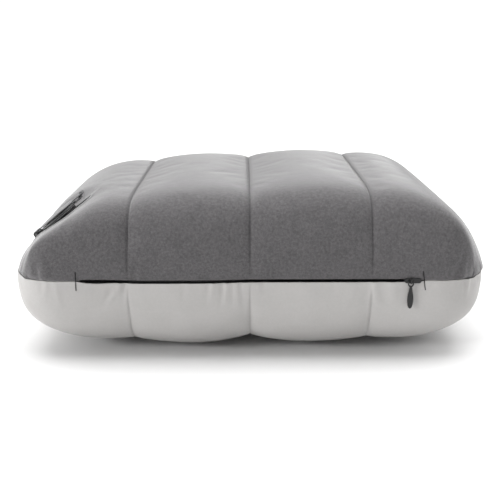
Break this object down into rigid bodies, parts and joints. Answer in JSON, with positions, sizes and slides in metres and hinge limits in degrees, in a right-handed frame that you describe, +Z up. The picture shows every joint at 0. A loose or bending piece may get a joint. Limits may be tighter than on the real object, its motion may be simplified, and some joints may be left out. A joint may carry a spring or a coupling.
{
  "type": "camp pillow",
  "caption": "Inflatable camp pillow: zipped two-tone fabric cover round a four-tube air bladder, with a flat two-lid valve on its left shoulder.",
  "frame": {"origin": "on the floor under the middle of the cover", "axes": "+X to the pillow's right, -Y out of the zipped front edge, +Z up"},
  "size_m": [0.43, 0.304, 0.1541],
  "materials": {
    "top_fleece": "brushed fleece-faced fabric, matt",
    "bottom_fabric": "smooth fine knit, matt",
    "zip_tape": "woven tape",
    "zip_coil": "moulded nylon coil",
    "zip_metal": "black enamel, satin",
    "thread": "dense stitching",
    "bladder_film": "coated film, satin",
    "binding": "folded edge tape",
    "valve_plastic": "moulded soft plastic, satin",
    "seal": "silicone"
  },
  "bodies": {
    "root": {"cover_top_panel": "top_fleece", "cover_bottom_panel": "bottom_fabric", "valve_port_binding": "binding", "zip_tape_upper": "zip_tape", "zip_tape_lower": "zip_tape", "zip_coil_upper": "zip_coil", "zip_coil_lower": "zip_coil", "zip_stop_left": "zip_metal", "zip_stop_right": "zip_metal", "bartack_left": "thread", "bartack_right": "thread", "bladder_top_sheet": "bladder_film", "bladder_bottom_sheet": "bladder_film", "baffle_left": "bladder_film", "baffle_centre": "bladder_film", "baffle_right": "bladder_film", "valve_base_cup": "valve_plastic", "valve_hinge_pin": "valve_plastic"},
    "slider": {"zip_slider_body": "zip_metal"},
    "pull": {"zip_pull_tab": "zip_metal"},
    "inner_lid": {"valve_inner_lid": "valve_plastic", "valve_inner_seal": "seal"},
    "diaphragm": {"valve_diaphragm": "seal"},
    "outer_cap": {"valve_outer_cap": "valve_plastic", "valve_outer_seal": "seal"}
  },
  "joints": [
    {"name": "zip_run", "type": "slide", "parent": "root", "child": "slider", "axis": [-1, 0, 0], "range_m": [0, 0.284]},
    {"name": "pull_swing", "type": "hinge", "parent": "slider", "child": "pull", "pos_m": [0.141, -0.15225, 0.075], "axis": [-1, 0, 0], "range_deg": [0, 150]},
    {"name": "inner_lid_hinge", "type": "hinge", "parent": "root", "child": "inner_lid", "pos_m": [-0.20342, -0.06908, 0.09886], "axis": [0, -1, -0.0008], "range_deg": [0, 70]},
    {"name": "outer_cap_hinge", "type": "hinge", "parent": "inner_lid", "child": "outer_cap", "pos_m": [-0.20342, -0.06908, 0.09886], "axis": [0, -1, -0.0008], "range_deg": [0, 90]},
    {"name": "diaphragm_lift", "type": "slide", "parent": "inner_lid", "child": "diaphragm", "axis": [0.6348, 0.0006, -0.7727], "range_m": [0, 0.0008], "stiffness_N_per_m": 40}
  ]
}
